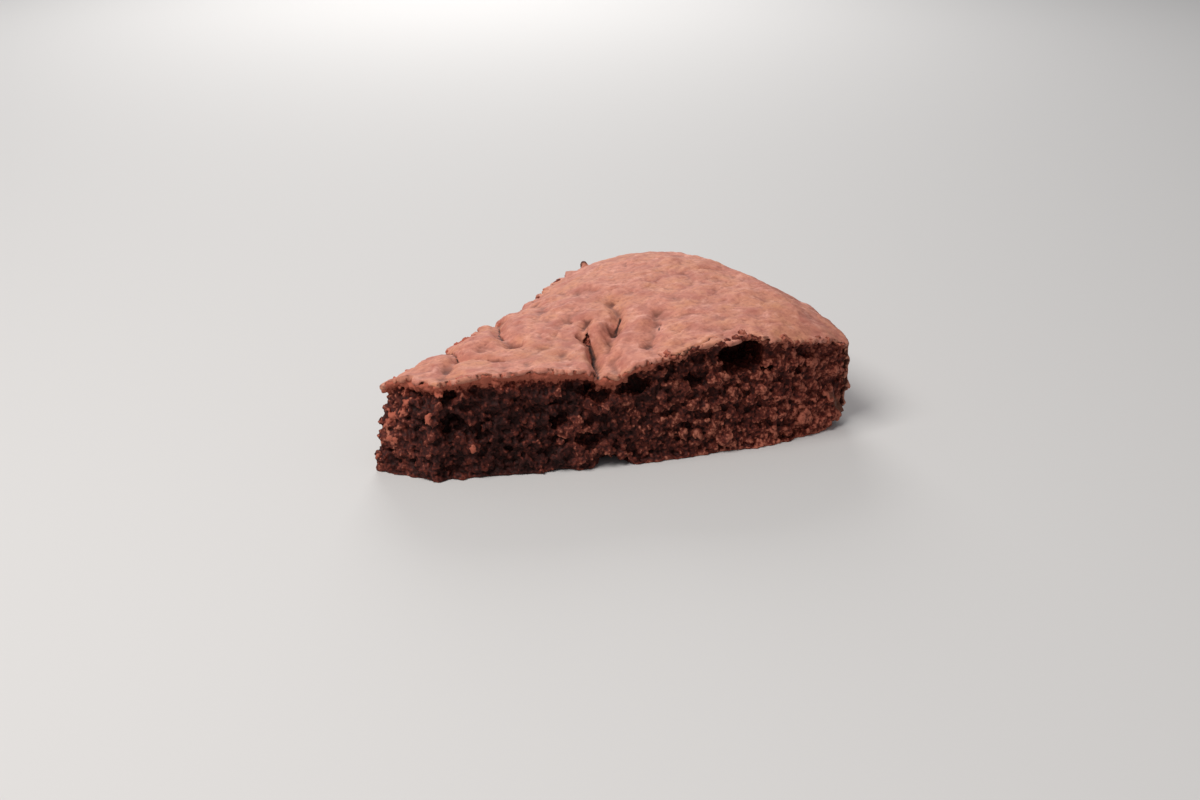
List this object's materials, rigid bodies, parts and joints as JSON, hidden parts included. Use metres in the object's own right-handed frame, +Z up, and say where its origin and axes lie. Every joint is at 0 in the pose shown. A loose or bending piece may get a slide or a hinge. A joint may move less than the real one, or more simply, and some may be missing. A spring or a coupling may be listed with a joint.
{
  "type": "chocolate cake slice",
  "caption": "Wedge of a round, single-layer chocolate cake with a thin crackled crust, a dark porous crumb on its cut faces and a blunt, broken tip.",
  "frame": {"origin": "centre of the bounding box's base, on the flat underside of the slice", "axes": "+X along the slice's middle line, from its tip to the cake's rim; +Y towards the back cut; +Z up, from the base to the crust"},
  "size_m": [0.1182, 0.0922, 0.0324],
  "materials": {
    "chocolate_cake": "dry, matt baked crust over dark, moist, porous crumb"
  },
  "bodies": {
    "root": {"cake_slice": "chocolate_cake"}
  },
  "joints": []
}
